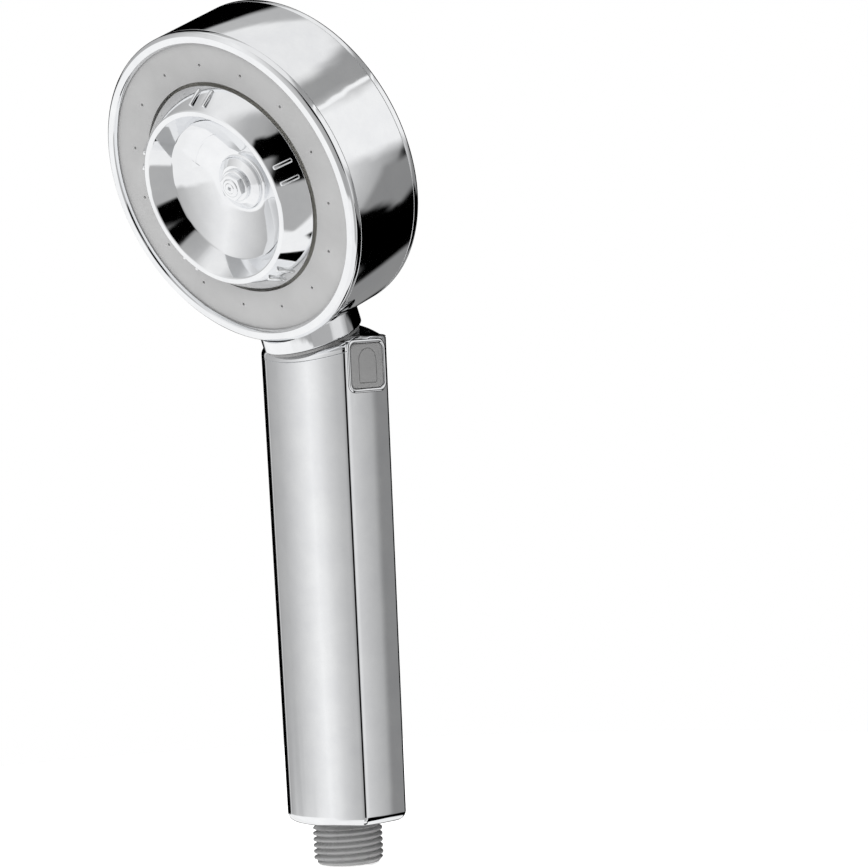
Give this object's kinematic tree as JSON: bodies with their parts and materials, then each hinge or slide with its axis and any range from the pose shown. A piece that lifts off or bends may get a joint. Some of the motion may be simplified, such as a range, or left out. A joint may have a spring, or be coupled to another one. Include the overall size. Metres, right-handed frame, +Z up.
{
  "type": "handheld shower head",
  "caption": "Double-sided handheld shower head: flat-sided grip with stop buttons, threaded inlet, and a round drum that swivels to turn its mist or rain face forward.",
  "frame": {"origin": "centre of the inlet thread's end face", "axes": "+Z up the grip from the inlet to the head, -Y towards where the water leaves, +X towards the marked button"},
  "size_m": [0.098, 0.0683, 0.2602],
  "materials": {
    "chrome_plating": "bright chrome plate on moulded ABS",
    "face_plate_plastic": "fine satin moulded ABS",
    "button_plastic_light": "satin moulded plastic",
    "button_plastic_dark": "satin moulded plastic",
    "grey_acetal": "moulded, slightly shiny",
    "white_acetal": "moulded",
    "seal_rubber": "matte",
    "nozzle_rubber": "matte silicone",
    "satin_plate": "satin",
    "stainless_steel": "turned"
  },
  "bodies": {
    "handle": {"inlet_fitting": "grey_acetal", "flow_limiter": "white_acetal", "handle_shell": "chrome_plating", "handle_shoulder": "chrome_plating", "water_tube": "white_acetal", "tube_seals": "seal_rubber", "valve_body": "white_acetal", "right_bezel": "chrome_plating", "left_bezel": "chrome_plating", "neck_spigot": "white_acetal", "neck_seals": "seal_rubber", "neck_bearing": "grey_acetal", "retaining_washer": "stainless_steel", "retaining_screw": "stainless_steel", "body_screws": "stainless_steel", "detent_ball": "stainless_steel", "detent_spring": "stainless_steel"},
    "stop_valve": {"valve_spool": "white_acetal", "spool_seals": "seal_rubber", "marked_button": "button_plastic_light", "plain_button": "button_plastic_dark"},
    "head": {"neck_collar": "chrome_plating", "head_socket": "white_acetal", "socket_cap": "white_acetal", "drum_shell": "chrome_plating", "divider_plate": "white_acetal", "divider_screws": "stainless_steel", "mist_manifold": "white_acetal", "mist_seal": "seal_rubber", "mist_plate": "face_plate_plastic", "mist_bezel": "chrome_plating", "rain_seal": "seal_rubber", "nozzle_mat": "nozzle_rubber", "rain_plate": "face_plate_plastic", "rain_bezel": "chrome_plating", "cover_screws": "stainless_steel", "rain_trim_ring": "chrome_plating", "rain_center_cover": "satin_plate"},
    "knob": {"mode_knob": "chrome_plating", "jet_nozzle": "chrome_plating", "knob_shaft": "white_acetal", "knob_seal": "seal_rubber", "shaft_clip": "stainless_steel"}
  },
  "joints": [
    {"name": "head_swivel", "type": "hinge", "parent": "handle", "child": "head", "pos_m": [0, 0, 0.14818], "axis": [0, -0.342, 0.9397], "range_deg": [0, 180]},
    {"name": "knob_turn", "type": "hinge", "parent": "head", "child": "knob", "pos_m": [0, -0.0223, 0.20944], "axis": [0, -0.9397, -0.342], "range_deg": [0, 90]},
    {"name": "stop_button", "type": "slide", "parent": "handle", "child": "stop_valve", "axis": [1, 0, 0], "range_m": [-0.003, 0]}
  ]
}
